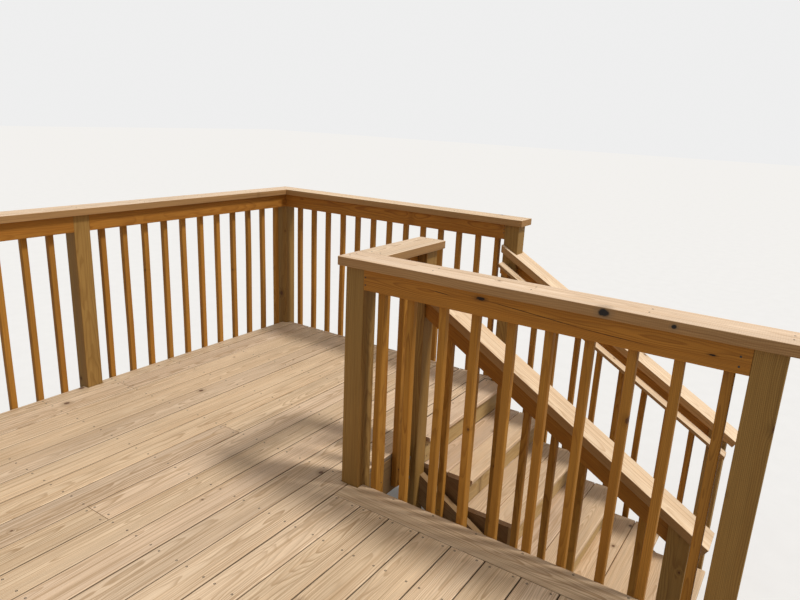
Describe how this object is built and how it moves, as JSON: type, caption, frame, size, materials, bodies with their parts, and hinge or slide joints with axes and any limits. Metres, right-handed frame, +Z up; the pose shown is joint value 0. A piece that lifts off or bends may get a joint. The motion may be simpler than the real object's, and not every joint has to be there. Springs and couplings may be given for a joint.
{
  "type": "wooden deck stairs",
  "caption": "Raised wooden deck with baluster guard railings and a straight flight of timber steps that has a handrail on one side.",
  "frame": {"origin": "ground level under the middle of the whole structure's outline", "axes": "+X down the flight of steps, +Y away from the porch side towards the far railing, +Z up"},
  "size_m": [3.4406, 2.9696, 1.916],
  "materials": {
    "deck_wood": "new treated pine, unpainted, eased edges",
    "tread_wood": "new treated pine, unpainted, eased edges",
    "cap_wood": "new treated pine, unpainted, sawn",
    "rail_wood": "new treated pine, unpainted, sawn",
    "baluster_wood": "new treated pine, unpainted, sawn",
    "post_wood": "new treated pine, unpainted, sawn",
    "riser_wood": "new treated pine, unpainted, planed",
    "frame_wood": "new treated pine, unpainted, sawn"
  },
  "bodies": {
    "root": {"deck_boards": "deck_wood", "edge_boards": "deck_wood", "border_board": "deck_wood", "joists": "frame_wood", "side_rims": "frame_wood", "rim_far": "frame_wood", "rim_stair": "frame_wood", "rim_porch": "frame_wood", "rim_front": "frame_wood", "front_left_post": "post_wood", "left_post": "post_wood", "corner_post": "post_wood", "far_top_post": "post_wood", "near_top_post": "post_wood", "inner_corner_post": "post_wood", "porch_end_post": "post_wood", "near_bottom_post": "post_wood", "far_bottom_post": "post_wood", "piers": "post_wood", "cap_left": "cap_wood", "cap_far": "cap_wood", "cap_stub": "cap_wood", "cap_porch": "cap_wood", "cap_near_stair": "cap_wood", "cap_far_stair": "cap_wood", "rail_left": "rail_wood", "rail_far": "rail_wood", "rail_stub": "rail_wood", "rail_porch": "rail_wood", "rail_near_stair": "rail_wood", "rail_far_stair": "rail_wood", "balusters_left": "baluster_wood", "balusters_far": "baluster_wood", "balusters_stub": "baluster_wood", "balusters_porch": "baluster_wood", "balusters_near_stair": "baluster_wood", "balusters_far_stair": "baluster_wood", "guard_boards": "frame_wood", "handrail": "cap_wood", "handrail_blocks": "rail_wood", "stringer_near": "frame_wood", "stringer_mid": "frame_wood", "stringer_far": "frame_wood", "treads": "tread_wood", "risers": "riser_wood"}
  },
  "joints": []
}
